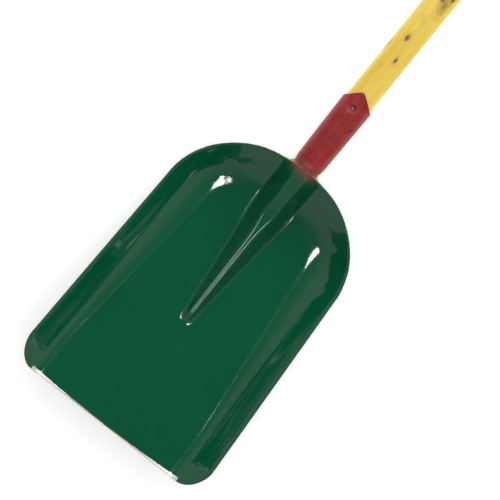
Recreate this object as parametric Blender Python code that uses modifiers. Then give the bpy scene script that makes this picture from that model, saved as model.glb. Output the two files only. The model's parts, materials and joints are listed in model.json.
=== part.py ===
"""Grain scoop shovel: a pressed steel scoop with an integral rolled socket, nailed to a wooden pole handle.

The scoop is laid out in its own frame: X across, Y from the cutting edge towards the handle, Z square to the
flat floor, whose upper face is z = 0. An empty then pitches the whole shovel into its resting pose, lying on
the heel of the scoop and on the end of the handle.
"""
import math

import bmesh
import bpy
import numpy as np
from mathutils import Vector

# ---- Driving dimensions, in metres and radians ----

SHEET = 0.0015
FIT_GAP = 0.0003

# Plan outline of the scoop, half widths
EDGE_HALF = 0.112
FRONT_HALF = 0.1395
CORNER_LENGTH = 0.038
ARCH_HALF = 0.128
ARCH_START = 0.2933
ARCH_DEPTH = 0.1067
SHOULDER_FILLET = 0.008

# Floor and the wall flared up around it
FLOOR_FRONT_HALF = 0.0985
FLOOR_TAPER_START = 0.060
FLOOR_TAPER = 0.129
BEND_RADIUS_FRONT = 0.020
BEND_GROWTH_START = 0.080
BEND_GROWTH = 0.17
BEND_RADIUS_BACK = 0.042
BACK_FLARE = 0.0648
TAPER_ROUND = 0.020
WALL_ANGLE_SIDE = math.radians(50)
WALL_ANGLE_BACK = math.radians(42)
WALL_ANGLE_FRONT = math.radians(30)
WALL_RISE_LENGTH = 0.040
CORNER_CUT = 0.008
HEEL_EASE_START = 0.276
HEEL_EASE_END = 0.345
HEEL_EASE_SLOPE = 0.055

# Frog, the raised rib that is hollow behind
FROG_TIP = 0.1605
FROG_TIP_HALF = 0.0068
FROG_NOSE_SLOPE = 0.62
FROG_NOSE_LENGTH = 0.011
FROG_LOW_SLOPE = 0.198
FROG_BEND = 0.3317
FROG_HIGH_SLOPE = 0.477
FROG_SPREAD = 0.101
FROG_SPREAD_HIGH = 0.02
FROG_FOOT_FILLET = 0.004
FILLET_INWARD = 0.5
FILLET_OUTWARD = 0.8
FILLET_MOST_INWARD = 0.22
FILLET_MOST_OUTWARD = 0.3
FOOT_MIN_WALL = 0.004
NOSE_ROUND = 0.003
LOW_ROUND = 0.005
HIGH_ROUND = 0.009
PLAN_ROUND = 0.005
CREST_TIP_HALF = 0.0018
CREST_SPREAD = 0.013
CREST_WIDENS_FROM = 0.285
CREST_WIDE_HALF = 0.0082
CREST_WIDE_BEYOND = 0.004
CREST_WIDEN_POWER = 1.5
CREST_SHOULDER = 0.0022

# Socket, a slightly widening tube about the handle's axis
LIFT = math.radians(21)
SOCKET_START = ARCH_START + ARCH_DEPTH
SOCKET_START_RADIUS = 0.0192
SOCKET_MOUTH_RADIUS = 0.0208
SOCKET_LENGTH = 0.1055
TONGUE_LENGTH = 0.0243
TONGUE_ROUND = 0.0080
TONGUE_BLUNT = 0.14
TONGUE_SKEW = -0.17
SIDE_TURN = math.radians(76)
FOOT_TURN = math.radians(104)
SEAM_HALF_ANGLE = math.radians(5)
SEAM_CLOSES_OVER = 0.060
SEAM_OPENS_BEFORE = 0.004
SEAM_OPEN_TURN = FOOT_TURN + 0.25
CREST_ROUNDS_BEFORE = 0.018
CREST_ROUNDS_AFTER = 0.002
CREST_SPACES_BEFORE = 0.048
ROLL_STARTS_BEFORE = 0.012
ROLL_ENDS_AFTER = 0.014
PRESSED_BEYOND = 0.004

# Handle
HANDLE_RADIUS = 0.0183
HANDLE_TIP_AXIAL = -0.024
HANDLE_TIP_RADIUS = 0.0095
HANDLE_NECK_RADIUS = 0.0168
NECK_START = 0.012
NECK_BEYOND = 0.002
HANDLE_END_AXIAL = 1.070
HANDLE_END_ROUND = 0.005

# Resting: how near its end the pole touches down, and how far away the heel is looked for
END_REGION = 0.020
HEEL_AWAY = 0.050

# Nails
NAIL_HEAD_RADIUS = 0.0031
NAIL_HEAD_HEIGHT = 0.0014
NAIL_SHANK_RADIUS = 0.0015
NAIL_LENGTH = 0.028
NAIL_POINT = 0.004
NAIL_RIM_SHARE = 0.35
HOLE_REACH = 0.004
FRONT_NAIL_AXIAL = 0.1055
FRONT_NAIL_TURN = math.radians(-7)
SIDE_NAIL_AXIAL = 0.0788
SIDE_NAIL_TURN = math.radians(48)

# Fineness of the pressed sheet
CREST_STEPS = 6
FOOT_STEPS = 3
WALL_STEPS = 8
TUBE_ROWS = 8
NOSE_SPACING = 0.004
ROUND_STEPS = 48
NAIL_STEPS = 20
AXIS_MERGE = 0.00002


# ---- Small helpers ----

def soft_ramp(distance, spread):
    """0 before a bend and the distance after it, rounded over the spread on both sides."""
    if distance <= -spread:
        return 0.0
    if distance >= spread:
        return distance
    return (distance + spread) ** 2 / (4 * spread)


def smooth_step(value, start, end):
    t = min(max((value - start) / (end - start), 0.0), 1.0)
    return t * t * (3 - 2 * t)


def mix(a, b, share):
    return a + (b - a) * share


# ---- The handle's axis and the socket about it ----

def crest_height(y):
    """Height of the frog's crest line over the floor."""
    nose_end = FROG_TIP + FROG_NOSE_LENGTH
    height = FROG_NOSE_SLOPE * soft_ramp(y - FROG_TIP, NOSE_ROUND)
    height += (FROG_LOW_SLOPE - FROG_NOSE_SLOPE) * soft_ramp(y - nose_end, LOW_ROUND)
    height += (FROG_HIGH_SLOPE - FROG_LOW_SLOPE) * soft_ramp(y - FROG_BEND, HIGH_ROUND)
    return height


AXIS_DIRECTION = Vector((0, math.cos(LIFT), math.sin(LIFT)))
AXIS_FRONT = Vector((0, -math.sin(LIFT), math.cos(LIFT)))
AXIS_ORIGIN = Vector((0, SOCKET_START, crest_height(SOCKET_START) - SOCKET_START_RADIUS / math.cos(LIFT)))
SOCKET_WIDENING = (SOCKET_MOUTH_RADIUS - SOCKET_START_RADIUS) / SOCKET_LENGTH


def socket_radius(axial):
    return SOCKET_START_RADIUS + SOCKET_WIDENING * axial


def socket_point(axial, turn):
    """Point on the socket's outer face: turn 0 is the front, half a turn is the seam."""
    radius = socket_radius(axial)
    across = Vector((math.sin(turn), 0, 0))
    return AXIS_ORIGIN + AXIS_DIRECTION * axial + (across + AXIS_FRONT * math.cos(turn)) * radius


def axial_at(y, turn):
    """Where the line along the socket's face at this turn passes a given y."""
    slant = math.cos(turn) * math.sin(LIFT)
    run = y - SOCKET_START + SOCKET_START_RADIUS * slant
    return run / (math.cos(LIFT) - SOCKET_WIDENING * slant)


def mouth_axial(turn):
    """The mouth's edge: square behind, with a blunt tongue in front whose tip lies a little to one side."""
    if abs(turn) >= math.pi / 2:
        return SOCKET_LENGTH
    across = math.sin(turn)
    side = math.copysign(1, across - TONGUE_SKEW)
    off_tip = (across - TONGUE_SKEW) / (side - TONGUE_SKEW)
    slope = (math.hypot(off_tip, TONGUE_BLUNT) - TONGUE_BLUNT) / (math.hypot(1, TONGUE_BLUNT) - TONGUE_BLUNT)
    bulge = math.sqrt(max(1 - off_tip * off_tip, 0.0))
    return SOCKET_LENGTH + (TONGUE_LENGTH - TONGUE_ROUND) * (1 - slope) + TONGUE_ROUND * bulge


# ---- The scoop's plan outline ----

def straight_half(y):
    """Half width of the straight tapered sides, extended to the cutting edge."""
    taper = (FRONT_HALF - ARCH_HALF) / (ARCH_START - CORNER_LENGTH)
    return FRONT_HALF - taper * (y - CORNER_LENGTH)


def fillet_centre():
    """Centre of the round between the arch and the socket's side."""
    x = SOCKET_START_RADIUS + SHOULDER_FILLET
    arch_y = ARCH_START + ARCH_DEPTH * math.sqrt(1 - (x / ARCH_HALF) ** 2)
    return x, arch_y + SHOULDER_FILLET


def outline_half(y):
    """Half width of the rim at y, from the cutting edge to the socket's side."""
    if y < CORNER_LENGTH:
        back = (CORNER_LENGTH - y) / CORNER_LENGTH
        return EDGE_HALF + (FRONT_HALF - EDGE_HALF) * math.sqrt(1 - back * back)
    if y <= ARCH_START:
        return straight_half(y)
    centre_x, centre_y = fillet_centre()
    if y < centre_y - SHOULDER_FILLET:
        return ARCH_HALF * math.sqrt(1 - ((y - ARCH_START) / ARCH_DEPTH) ** 2)
    if y < centre_y:
        return centre_x - math.sqrt(max(SHOULDER_FILLET ** 2 - (centre_y - y) ** 2, 0.0))
    return SOCKET_START_RADIUS


# ---- Heights of the pressed sheet, upper face ----

def flare_height(out, radius, angle):
    """Height of the flared wall, at a distance out from the floor's flat part."""
    bend_end = radius * math.sin(angle)
    if out <= 0:
        return 0.0
    if out < bend_end:
        return radius - math.sqrt(radius * radius - out * out)
    return radius * (1 - math.cos(angle)) + (out - bend_end) * math.tan(angle)


def floor_half(y):
    """Half width of the flat floor."""
    return FLOOR_FRONT_HALF - FLOOR_TAPER * soft_ramp(y - FLOOR_TAPER_START, TAPER_ROUND)


def bend_radius(y):
    """Radius of the bend between floor and side wall, opening out towards the heel."""
    return BEND_RADIUS_FRONT + BEND_GROWTH * soft_ramp(y - BEND_GROWTH_START, TAPER_ROUND)


def heel_ease(y):
    """The floor's faint rise towards the heel, before the back wall."""
    span = HEEL_EASE_END - HEEL_EASE_START
    run = min(max(y - HEEL_EASE_START, 0.0), span)
    return HEEL_EASE_SLOPE * run * run / (2 * span)


def pan_height(x, y):
    """Floor, side walls and back wall, without the frog."""
    x = abs(x)
    if y <= ARCH_START:
        rise = math.sin(math.pi / 2 * min(y / WALL_RISE_LENGTH, 1.0))
        angle = mix(WALL_ANGLE_FRONT, WALL_ANGLE_SIDE, rise)
        return heel_ease(y) + flare_height(x - floor_half(y), bend_radius(y), angle)
    across = x / ARCH_HALF
    along = (y - ARCH_START) / ARCH_DEPTH
    reach = math.hypot(across, along)
    back_share = (along / reach) ** 2
    flare = mix(ARCH_HALF - floor_half(ARCH_START), BACK_FLARE, back_share)
    radius = mix(bend_radius(ARCH_START), BEND_RADIUS_BACK, back_share)
    angle = mix(WALL_ANGLE_SIDE, WALL_ANGLE_BACK, back_share)
    flare -= CORNER_CUT * 4 * back_share * (1 - back_share)
    ray = math.hypot(x, y - ARCH_START) / reach
    return heel_ease(y) + flare_height(flare - (1 - reach) * ray, radius, angle)


def frog_half(y):
    """Half width of the frog where its sides meet the floor."""
    half = FROG_TIP_HALF + FROG_SPREAD * soft_ramp(y - FROG_TIP, PLAN_ROUND)
    half += (FROG_SPREAD_HIGH - FROG_SPREAD) * soft_ramp(y - FROG_BEND, PLAN_ROUND)
    return half


def crest_half(y):
    """Half width of the frog's flat crest, which widens quickly below the socket."""
    narrow = CREST_TIP_HALF + CREST_SPREAD * soft_ramp(y - FROG_TIP, PLAN_ROUND)
    widened = smooth_step(y, CREST_WIDENS_FROM, FROG_BEND + CREST_WIDE_BEYOND) ** CREST_WIDEN_POWER
    return mix(narrow, CREST_WIDE_HALF, widened)


def crest_shoulder(y):
    """Half width of the rounding between the crest and the frog's side."""
    return min(CREST_SHOULDER, 0.7 * crest_half(y))


def frog_drop(share, y):
    """How far the frog's side has dropped from crest (0) to foot (1), at a share of its half width."""
    flat = crest_half(y) / frog_half(y)
    ridge = soft_ramp(share - flat, crest_shoulder(y) / frog_half(y)) / (1 - flat)
    tube = 1 - math.sqrt(max(1 - share * share, 0.0))
    rounded = smooth_step(y, SOCKET_START - CREST_ROUNDS_BEFORE, SOCKET_START + CREST_ROUNDS_AFTER)
    return mix(ridge, tube, rounded)


# ---- Cross-sections of the sheet, from the crest out to the edge ----

def crest_places(y, inner):
    """Where the frog's half section has its points: its flat crest, rounded shoulder and side."""
    shoulder_in = crest_half(y) - crest_shoulder(y)
    shoulder_out = crest_half(y) + crest_shoulder(y)
    knots = (0.0, shoulder_in, shoulder_out, inner)
    steps = CREST_STEPS // 3
    ridge = [0.0]
    for near, far in zip(knots, knots[1:]):
        ridge += [mix(near, far, i / steps) for i in range(1, steps + 1)]
    turns = [SIDE_TURN * i / CREST_STEPS for i in range(CREST_STEPS + 1)]
    tube = [inner * math.sin(turn) / math.sin(SIDE_TURN) for turn in turns]
    into_tube = smooth_step(y, SOCKET_START - CREST_SPACES_BEFORE, SOCKET_START)
    return [mix(a, b, into_tube) for a, b in zip(ridge, tube)]


def pressed_section(y):
    """Half section of the pressed scoop at y: crest, frog side, foot fillet, floor and wall."""
    rim = outline_half(y)
    foot = min(frog_half(y), rim - FOOT_MIN_WALL)
    crest = max(crest_height(y), pan_height(0, y))

    def face(x):
        pan = pan_height(x, y)
        if x >= foot:
            return Vector((x, y, pan))
        foot_height = pan_height(foot, y)
        return Vector((x, y, max(crest - (crest - foot_height) * frog_drop(x / foot, y), pan)))

    inner = foot - min(FROG_FOOT_FILLET * FILLET_INWARD, foot * FILLET_MOST_INWARD)
    outer = foot + min(FROG_FOOT_FILLET * FILLET_OUTWARD, (rim - foot) * FILLET_MOST_OUTWARD)
    points = [face(x) for x in crest_places(y, inner)]
    start, corner, end = points[-1], face(foot), face(outer)
    for i in range(1, FOOT_STEPS + 1):
        t = i / FOOT_STEPS
        points.append(start * (1 - t) ** 2 + corner * 2 * t * (1 - t) + end * t * t)
    for i in range(1, WALL_STEPS + 1):
        points.append(face(mix(outer, rim, i / WALL_STEPS)))
    return points


def tube_turns(axial):
    """Turns of the half section's points about the axis; the seam closes along the socket."""
    closed = smooth_step(axial, -SEAM_OPENS_BEFORE, SEAM_CLOSES_OVER)
    edge_turn = mix(SEAM_OPEN_TURN, math.pi - SEAM_HALF_ANGLE, closed)
    turns = [SIDE_TURN * i / CREST_STEPS for i in range(CREST_STEPS + 1)]
    turns += [mix(SIDE_TURN, FOOT_TURN, i / FOOT_STEPS) for i in range(1, FOOT_STEPS + 1)]
    turns += [mix(FOOT_TURN, edge_turn, i / WALL_STEPS) for i in range(1, WALL_STEPS + 1)]
    return turns


PRESSED_END = SOCKET_START - ROLL_STARTS_BEFORE
TUBE_BEGIN = SOCKET_START + ROLL_ENDS_AFTER


def section_at(y):
    """Half section at constant y, turning from pressed sheet into rolled tube at the shoulder."""
    pressed = pressed_section(min(y, SOCKET_START + PRESSED_BEYOND))
    if y <= PRESSED_END:
        return pressed
    rolled = smooth_step(y, PRESSED_END, TUBE_BEGIN)
    turns = tube_turns((y - SOCKET_START) / math.cos(LIFT))
    tube = [socket_point(axial_at(y, turn), turn) for turn in turns]
    points = [a.lerp(b, rolled) for a, b in zip(pressed, tube)]
    for point in points:
        point.y = y
    return points


def socket_section(share, side):
    """One side's half section of the tube, at a share of the way from the shoulder to the mouth's edge."""
    points = []
    first_axial = (TUBE_BEGIN - SOCKET_START) / math.cos(LIFT)
    turns = tube_turns(mix(first_axial, SOCKET_LENGTH, share))
    for first, turn in zip(tube_turns(first_axial), turns):
        start = axial_at(TUBE_BEGIN, first)
        point = socket_point(mix(start, mouth_axial(side * turn), share), turn)
        points.append(Vector((side * point.x, point.y, point.z)))
    return points


def whole_line(left, right):
    """Points across the sheet from two half sections that both start at the crest."""
    return list(reversed(left[1:])) + right


def mirrored(half):
    return [Vector((-point.x, point.y, point.z)) for point in half]


def station_list():
    """The y of each cross-section, close together where the sheet bends."""
    corner = [CORNER_LENGTH * (1 - math.cos(math.pi / 2 * i / 6)) for i in range(7)]
    front = [mix(CORNER_LENGTH, FROG_TIP - NOSE_SPACING, i / 6) for i in range(1, 7)]
    nose = [FROG_TIP + step * NOSE_SPACING for step in range(0, 5)]
    ridge = [mix(nose[-1], ARCH_START, i / 5) for i in range(1, 6)]
    last_arch = math.asin((fillet_centre()[1] - SHOULDER_FILLET - ARCH_START) / ARCH_DEPTH)
    arch = [ARCH_START + ARCH_DEPTH * math.sin(last_arch * i / 11) for i in range(1, 12)]
    shoulder = [mix(arch[-1], TUBE_BEGIN, i / 6) for i in range(1, 7)]
    return corner + front + nose + ridge + arch + shoulder


# ---- Building ----

def new_collection(name):
    collection = bpy.data.collections.new(name)
    bpy.context.scene.collection.children.link(collection)
    return collection


def new_object(name, mesh, collection):
    item = bpy.data.objects.new(name, mesh)
    collection.objects.link(item)
    return item


def new_material(name, colour, roughness, metallic):
    material = bpy.data.materials.new(name)
    material.use_nodes = True
    shader = material.node_tree.nodes["Principled BSDF"]
    shader.inputs["Base Color"].default_value = (*colour, 1.0)
    shader.inputs["Roughness"].default_value = roughness
    shader.inputs["Metallic"].default_value = metallic
    return material


def shade(mesh, sharp_angle):
    mesh.shade_smooth()
    mesh.set_sharp_from_angle(angle=sharp_angle)


def scoop_mesh():
    """The sheet's front face as one open surface, lofted through its cross-sections."""
    halves = [section_at(y) for y in station_list()]
    rows = [whole_line(mirrored(half), half) for half in halves]
    for i in range(1, TUBE_ROWS + 1):
        share = i / TUBE_ROWS
        rows.append(whole_line(socket_section(share, -1), socket_section(share, 1)))
    build = bmesh.new()
    grid = [[build.verts.new(point) for point in row] for row in rows]
    for near, far in zip(grid, grid[1:]):
        for i in range(len(near) - 1):
            build.faces.new((near[i], near[i + 1], far[i + 1], far[i]))
    mesh = bpy.data.meshes.new("scoop_blade")
    build.to_mesh(mesh)
    build.free()
    return mesh


def make_scoop(collection):
    scoop = new_object("scoop_blade", scoop_mesh(), collection)
    sheet = scoop.modifiers.new("sheet", "SOLIDIFY")
    sheet.thickness = SHEET
    sheet.offset = -1
    sheet.use_even_offset = True
    shade(scoop.data, math.radians(40))
    return scoop


def turned_object(name, profile, steps, collection):
    """A solid of revolution about its own Z, from (radius, height) points listed top to bottom."""
    build = bmesh.new()
    verts = [build.verts.new((radius, 0, height)) for radius, height in profile]
    for a, b in zip(verts, verts[1:]):
        build.edges.new((a, b))
    mesh = bpy.data.meshes.new(name)
    build.to_mesh(mesh)
    build.free()
    item = new_object(name, mesh, collection)
    turn = item.modifiers.new("turn", "SCREW")
    turn.axis = "Z"
    turn.steps = steps
    turn.render_steps = steps
    turn.use_merge_vertices = True
    turn.merge_threshold = AXIS_MERGE
    turn.use_smooth_shade = True
    return item


def aim(item, origin, direction):
    """Put an object's origin at a point with its Z along a direction."""
    item.location = origin
    item.rotation_mode = "QUATERNION"
    item.rotation_quaternion = direction.to_track_quat("Z", "Y")


def handle_profile():
    """Radius against distance along the axis, from the end of the pole down to its tip in the frog."""
    points = [(0.0, HANDLE_END_AXIAL)]
    for i in range(5):
        turn = math.pi / 2 * i / 4
        radius = HANDLE_RADIUS - HANDLE_END_ROUND * (1 - math.sin(turn))
        points.append((radius, HANDLE_END_AXIAL - HANDLE_END_ROUND * (1 - math.cos(turn))))
    for share in (0.33, 0.66):
        points.append((HANDLE_RADIUS, mix(HANDLE_END_AXIAL, SOCKET_LENGTH, share)))
    points.append((HANDLE_RADIUS, SOCKET_LENGTH + NECK_BEYOND))
    points.append((mix(HANDLE_RADIUS, HANDLE_NECK_RADIUS, 0.5), SOCKET_LENGTH * 0.5))
    points.append((HANDLE_NECK_RADIUS, NECK_START))
    points.append((HANDLE_TIP_RADIUS, HANDLE_TIP_AXIAL))
    points.append((0.0, HANDLE_TIP_AXIAL))
    return points


def nail_profile():
    """Domed head over a shank with a short point; height 0 is the underside of the head."""
    points = []
    for i in range(5):
        turn = math.pi / 2 * i / 4
        height = NAIL_HEAD_HEIGHT * mix(NAIL_RIM_SHARE, 1.0, math.cos(turn))
        points.append((NAIL_HEAD_RADIUS * math.sin(turn), height))
    points.append((NAIL_HEAD_RADIUS, 0.0))
    points.append((NAIL_SHANK_RADIUS, 0.0))
    points.append((NAIL_SHANK_RADIUS, -NAIL_LENGTH + NAIL_POINT))
    points.append((0.0, -NAIL_LENGTH))
    return points


def drill(item, cutter):
    cut = item.modifiers.new(cutter.name, "BOOLEAN")
    cut.operation = "DIFFERENCE"
    cut.object = cutter


def make_nail(name, axial, turn, scoop, handle, parts, cutters):
    """A nail through the sheet into the wood, with its hole in both."""
    outward = Vector((math.sin(turn), 0, 0)) + AXIS_FRONT * math.cos(turn)
    seat = socket_point(axial, turn) + outward * FIT_GAP
    nail = turned_object(name, nail_profile(), NAIL_STEPS, parts)
    aim(nail, seat, outward)
    hole_radius = NAIL_SHANK_RADIUS + FIT_GAP
    hole_end = -NAIL_LENGTH - FIT_GAP
    profile = [(0.0, HOLE_REACH), (hole_radius, HOLE_REACH), (hole_radius, hole_end), (0.0, hole_end)]
    hole = turned_object(name + "_hole", profile, NAIL_STEPS, cutters)
    aim(hole, seat, outward)
    hole.hide_render = True
    hole.display_type = "WIRE"
    drill(scoop, hole)
    drill(handle, hole)
    return nail, hole


def world_points(item):
    evaluated = item.evaluated_get(bpy.context.evaluated_depsgraph_get())
    matrix = item.matrix_world
    return [matrix @ vertex.co for vertex in evaluated.data.vertices]


def lay_down(root, parts):
    """Pitch the shovel until heel and handle end touch the ground, then centre it over the origin."""
    bpy.context.view_layer.update()
    points = [p for item in parts for p in world_points(item)]
    end_y = max(p.y for p in points)
    end = min((p for p in points if p.y > end_y - END_REGION), key=lambda p: p.z - math.tan(LIFT) * p.y)
    slope = max((end.z - p.z) / (end.y - p.y) for p in points if p.y < end.y - HEEL_AWAY)
    root.rotation_euler.x = -math.atan(slope)
    bpy.context.view_layer.update()
    points = np.array([tuple(p) for item in parts for p in world_points(item)])
    low, high = points.min(axis=0), points.max(axis=0)
    root.location = (-(low[0] + high[0]) / 2, -(low[1] + high[1]) / 2, -low[2])


def main():
    for item in list(bpy.data.objects):
        bpy.data.objects.remove(item, do_unlink=True)
    parts = new_collection("grain_scoop_shovel")
    cutters = new_collection("cutters")
    root = new_object("shovel_frame", None, parts)

    scoop = make_scoop(parts)
    handle = turned_object("handle", handle_profile(), ROUND_STEPS, parts)
    aim(handle, AXIS_ORIGIN, AXIS_DIRECTION)
    front_nail, front_hole = make_nail(
        "nail_front", FRONT_NAIL_AXIAL, FRONT_NAIL_TURN, scoop, handle, parts, cutters)
    side_nail, side_hole = make_nail(
        "nail_side", SIDE_NAIL_AXIAL, SIDE_NAIL_TURN, scoop, handle, parts, cutters)

    green = new_material("green_enamel", (0.006, 0.085, 0.036), 0.18, 0.0)
    wood = new_material("varnished_wood", (0.72, 0.50, 0.10), 0.45, 0.0)
    nail_paint = new_material("painted_nail", (0.20, 0.04, 0.035), 0.4, 0.0)
    scoop.data.materials.append(green)
    handle.data.materials.append(wood)
    front_nail.data.materials.append(nail_paint)
    side_nail.data.materials.append(nail_paint)

    for item in (scoop, handle, front_nail, side_nail, front_hole, side_hole):
        item.parent = root
    lay_down(root, (scoop, handle, front_nail, side_nail))


main()
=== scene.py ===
"""Looks of the grain scoop shovel: an enamelled scoop with its red socket, a varnished pole and two nails.

The pieces are made in the scoop's own frame, X across, Y from the cutting edge towards the handle and Z
square to the flat floor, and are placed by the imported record's mount points.
"""
import json
import math

import bmesh
import bpy
from mathutils import Matrix, Vector, noise


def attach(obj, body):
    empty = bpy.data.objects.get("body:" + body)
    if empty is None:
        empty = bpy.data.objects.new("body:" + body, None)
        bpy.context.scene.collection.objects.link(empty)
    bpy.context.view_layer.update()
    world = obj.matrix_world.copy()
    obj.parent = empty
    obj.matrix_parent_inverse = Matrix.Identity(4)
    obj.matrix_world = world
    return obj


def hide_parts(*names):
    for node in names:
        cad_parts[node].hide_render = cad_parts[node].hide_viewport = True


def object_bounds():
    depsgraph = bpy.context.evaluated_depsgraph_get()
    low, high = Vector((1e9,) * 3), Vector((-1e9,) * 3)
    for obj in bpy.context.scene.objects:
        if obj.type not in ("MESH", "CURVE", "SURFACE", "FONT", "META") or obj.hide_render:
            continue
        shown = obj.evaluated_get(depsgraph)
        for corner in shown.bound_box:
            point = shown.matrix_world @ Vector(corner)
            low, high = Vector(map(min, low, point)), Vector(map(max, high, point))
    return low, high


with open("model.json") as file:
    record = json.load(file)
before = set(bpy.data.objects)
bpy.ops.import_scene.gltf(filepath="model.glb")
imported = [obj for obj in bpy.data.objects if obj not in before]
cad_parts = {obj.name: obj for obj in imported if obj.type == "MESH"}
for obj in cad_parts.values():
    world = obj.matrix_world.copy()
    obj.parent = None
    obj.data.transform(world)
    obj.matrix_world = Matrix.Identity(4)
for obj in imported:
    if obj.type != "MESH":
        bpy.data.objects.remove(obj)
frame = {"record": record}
cad_low, cad_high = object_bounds()

# ---- Driving dimensions, in metres and radians ----

SHEET = 0.0015
FIT_GAP = 0.0003

# Plan outline of the scoop, half widths
EDGE_HALF = 0.112
FRONT_HALF = 0.1395
CORNER_LENGTH = 0.038
ARCH_HALF = 0.128
ARCH_START = 0.2933
ARCH_DEPTH = 0.1067
SHOULDER_FILLET = 0.008

# Floor and the wall flared up around it
FLOOR_FRONT_HALF = 0.0985
FLOOR_TAPER_START = 0.060
FLOOR_TAPER = 0.129
BEND_RADIUS_FRONT = 0.020
BEND_GROWTH_START = 0.080
BEND_GROWTH = 0.17
BEND_RADIUS_BACK = 0.042
BACK_FLARE = 0.0648
TAPER_ROUND = 0.020
WALL_ANGLE_SIDE = math.radians(50)
WALL_ANGLE_BACK = math.radians(42)
WALL_ANGLE_FRONT = math.radians(30)
WALL_RISE_LENGTH = 0.040
CORNER_CUT = 0.008
HEEL_EASE_START = 0.276
HEEL_EASE_END = 0.345
HEEL_EASE_SLOPE = 0.055

# Frog, the raised rib that is hollow behind
FROG_TIP = 0.1605
FROG_TIP_HALF = 0.0068
FROG_NOSE_SLOPE = 0.62
FROG_NOSE_LENGTH = 0.011
FROG_LOW_SLOPE = 0.198
FROG_BEND = 0.3317
FROG_HIGH_SLOPE = 0.477
FROG_SPREAD = 0.101
FROG_SPREAD_HIGH = 0.02
FROG_FOOT_FILLET = 0.004
FILLET_INWARD = 0.5
FILLET_OUTWARD = 0.8
FILLET_MOST_INWARD = 0.22
FILLET_MOST_OUTWARD = 0.3
FOOT_MIN_WALL = 0.004
NOSE_ROUND = 0.003
LOW_ROUND = 0.005
HIGH_ROUND = 0.009
PLAN_ROUND = 0.005
CREST_TIP_HALF = 0.0018
CREST_SPREAD = 0.013
CREST_WIDENS_FROM = 0.285
CREST_WIDE_HALF = 0.0082
CREST_WIDE_BEYOND = 0.004
CREST_WIDEN_POWER = 1.5
CREST_SHOULDER = 0.0022

# Socket, a slightly widening tube about the handle's axis
LIFT = math.radians(21)
SOCKET_START = ARCH_START + ARCH_DEPTH
SOCKET_START_RADIUS = 0.0192
SOCKET_MOUTH_RADIUS = 0.0208
SOCKET_LENGTH = 0.1055
TONGUE_LENGTH = 0.0243
TONGUE_ROUND = 0.0080
TONGUE_BLUNT = 0.14
TONGUE_SKEW = -0.17
SIDE_TURN = math.radians(76)
FOOT_TURN = math.radians(104)
SEAM_HALF_ANGLE = math.radians(5)
SEAM_CLOSES_OVER = 0.060
SEAM_OPENS_BEFORE = 0.004
SEAM_OPEN_TURN = FOOT_TURN + 0.25
CREST_ROUNDS_BEFORE = 0.018
CREST_ROUNDS_AFTER = 0.002
CREST_SPACES_BEFORE = 0.048
ROLL_STARTS_BEFORE = 0.012
ROLL_ENDS_AFTER = 0.014
PRESSED_BEYOND = 0.004

# Handle
HANDLE_RADIUS = 0.0183
HANDLE_TIP_AXIAL = -0.024
HANDLE_TIP_RADIUS = 0.0095
HANDLE_NECK_RADIUS = 0.0168
NECK_START = 0.012
HANDLE_END_AXIAL = 1.070
HANDLE_END_ROUND = 0.005

# Nails
NAIL_HEAD_RADIUS = 0.0031
NAIL_HEAD_HEIGHT = 0.0014
NAIL_SHANK_RADIUS = 0.0015
NAIL_LENGTH = 0.028
NAIL_POINT_LENGTH = 0.004
NAIL_TIP_LENGTH = 0.0004
FRONT_NAIL_AXIAL = 0.1055
FRONT_NAIL_TURN = math.radians(-7)
SIDE_NAIL_AXIAL = 0.0788
SIDE_NAIL_TURN = math.radians(48)

# Fineness of the pressed sheet: points across a half section, then rows along the scoop
CREST_STEPS = 21
FOOT_STEPS = 8
WALL_STEPS = 26
CORNER_ROWS = 26
FRONT_ROWS = 20
NOSE_ROWS = 20
NOSE_LEAD = 0.005
NOSE_SPACING = 0.00125
RIDGE_ROWS = 24
ARCH_ROWS = 44
SHOULDER_ROWS = 24
TUBE_ROWS = 64


# ---- Small helpers ----

def soft_ramp(distance, spread):
    """0 before a bend and the distance after it, rounded over the spread on both sides."""
    if distance <= -spread:
        return 0.0
    if distance >= spread:
        return distance
    return (distance + spread) ** 2 / (4 * spread)


def smooth_step(value, start, end):
    t = min(max((value - start) / (end - start), 0.0), 1.0)
    return t * t * (3 - 2 * t)


def mix(a, b, share):
    return a + (b - a) * share


def spread(start, end, count):
    """Even steps from just after the start up to the end."""
    return [mix(start, end, i / count) for i in range(1, count + 1)]


def unit_noise(point):
    """Smooth noise about a half, between 0 and 1."""
    return 0.5 + 0.5 * noise.noise(point)


def pose_matrix(x_axis, y_axis, z_axis, origin):
    matrix = Matrix((x_axis, y_axis, z_axis)).transposed().to_4x4()
    matrix.translation = origin
    return matrix


# ---- The handle's axis and the socket about it ----

def crest_height(y):
    """Height of the frog's crest line over the floor."""
    nose_end = FROG_TIP + FROG_NOSE_LENGTH
    height = FROG_NOSE_SLOPE * soft_ramp(y - FROG_TIP, NOSE_ROUND)
    height += (FROG_LOW_SLOPE - FROG_NOSE_SLOPE) * soft_ramp(y - nose_end, LOW_ROUND)
    height += (FROG_HIGH_SLOPE - FROG_LOW_SLOPE) * soft_ramp(y - FROG_BEND, HIGH_ROUND)
    return height


AXIS_DIRECTION = Vector((0, math.cos(LIFT), math.sin(LIFT)))
AXIS_FRONT = Vector((0, -math.sin(LIFT), math.cos(LIFT)))
AXIS_ORIGIN = Vector((0, SOCKET_START, crest_height(SOCKET_START) - SOCKET_START_RADIUS / math.cos(LIFT)))
SOCKET_WIDENING = (SOCKET_MOUTH_RADIUS - SOCKET_START_RADIUS) / SOCKET_LENGTH


def socket_radius(axial):
    return SOCKET_START_RADIUS + SOCKET_WIDENING * axial


def socket_point(axial, turn):
    """Point on the socket's outer face: turn 0 is the front, half a turn is the seam."""
    radius = socket_radius(axial)
    across = Vector((math.sin(turn), 0, 0))
    return AXIS_ORIGIN + AXIS_DIRECTION * axial + (across + AXIS_FRONT * math.cos(turn)) * radius


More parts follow.
